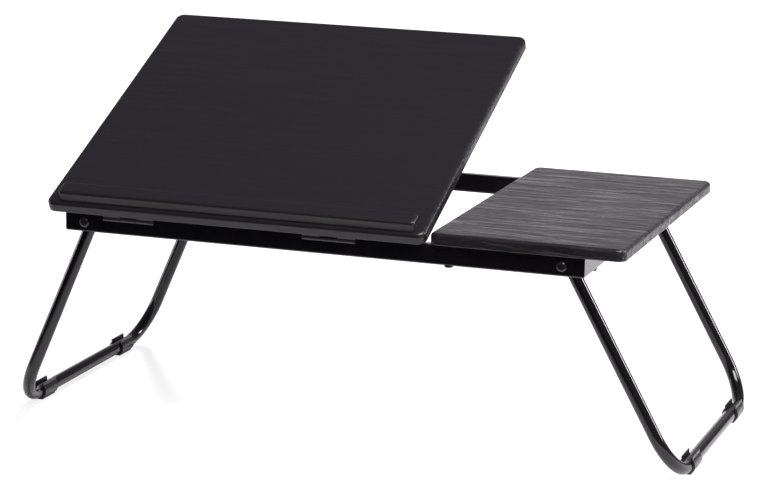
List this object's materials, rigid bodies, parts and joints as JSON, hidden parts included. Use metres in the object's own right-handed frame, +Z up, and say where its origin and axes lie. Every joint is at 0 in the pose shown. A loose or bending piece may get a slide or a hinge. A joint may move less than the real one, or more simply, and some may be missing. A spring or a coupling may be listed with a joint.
{
  "type": "bed tray table",
  "caption": "Low bed tray with a fixed side board, a tilting reading board with a stop ledge, and folding U-shaped tube legs under a rectangular tube frame.",
  "frame": {"origin": "on the floor, under the middle of the whole table", "axes": "+X from the tilting board to the fixed side board, +Y from the ledge to the back, +Z up"},
  "size_m": [0.716, 0.3762, 0.38],
  "materials": {
    "board_foil": "satin",
    "ledge_black": "satin",
    "frame_black": "gloss",
    "bolt_black": "gloss",
    "hinge_steel": "satin",
    "bright_wire": "polished",
    "zinc_steel": "satin",
    "clip_plastic": "satin",
    "plug_plastic": "matte"
  },
  "bodies": {
    "frame": {"front_rail": "frame_black", "rear_rail": "frame_black", "left_end_rail": "frame_black", "right_end_rail": "frame_black", "side_board": "board_foil", "side_board_screws": "bolt_black", "side_board_end_screws": "bolt_black", "rack_left": "frame_black", "rack_right": "frame_black", "rack_screws": "zinc_steel", "hinge_fixed_leaf_left": "hinge_steel", "hinge_fixed_leaf_right": "hinge_steel", "hinge_pins": "zinc_steel", "hinge_rail_screws": "zinc_steel", "leg_pivot_bolts": "bolt_black", "leg_spacers": "plug_plastic", "leg_lock_nuts": "zinc_steel"},
    "tilt_board": {"main_board": "board_foil", "ledge": "ledge_black", "ledge_screws": "zinc_steel", "hinge_moving_leaf_left": "hinge_steel", "hinge_moving_leaf_right": "hinge_steel", "hinge_board_screws": "zinc_steel", "stand_saddles": "zinc_steel", "stand_saddle_screws": "zinc_steel"},
    "prop_stand": {"prop_stand": "bright_wire"},
    "left_leg": {"left_leg_tube": "frame_black", "left_foot_clips": "clip_plastic", "left_leg_end_plugs": "plug_plastic"},
    "right_leg": {"right_leg_tube": "frame_black", "right_foot_clips": "clip_plastic", "right_leg_end_plugs": "plug_plastic"}
  },
  "joints": [
    {"name": "board_tilt", "type": "hinge", "parent": "frame", "child": "tilt_board", "pos_m": [-0.10685, -0.1795, 0.218], "axis": [1, 0, 0], "range_deg": [-23.8, 12.2]},
    {"name": "stand_swing", "type": "hinge", "parent": "tilt_board", "child": "prop_stand", "pos_m": [-0.1191, -0.05173, 0.27523], "axis": [1, 0, 0], "range_deg": [-24.5, 47.7]},
    {"name": "left_leg_fold", "type": "hinge", "parent": "frame", "child": "left_leg", "pos_m": [-0.26314, 0.0031, 0.212], "axis": [0, -1, 0], "range_deg": [0, 113]},
    {"name": "right_leg_fold", "type": "hinge", "parent": "frame", "child": "right_leg", "pos_m": [0.23532, 0.0031, 0.212], "axis": [0, 1, 0], "range_deg": [0, 119.3]}
  ],
  "couplings": [
    {"joint": "stand_swing", "follows": "board_tilt", "ratio": -2}
  ]
}
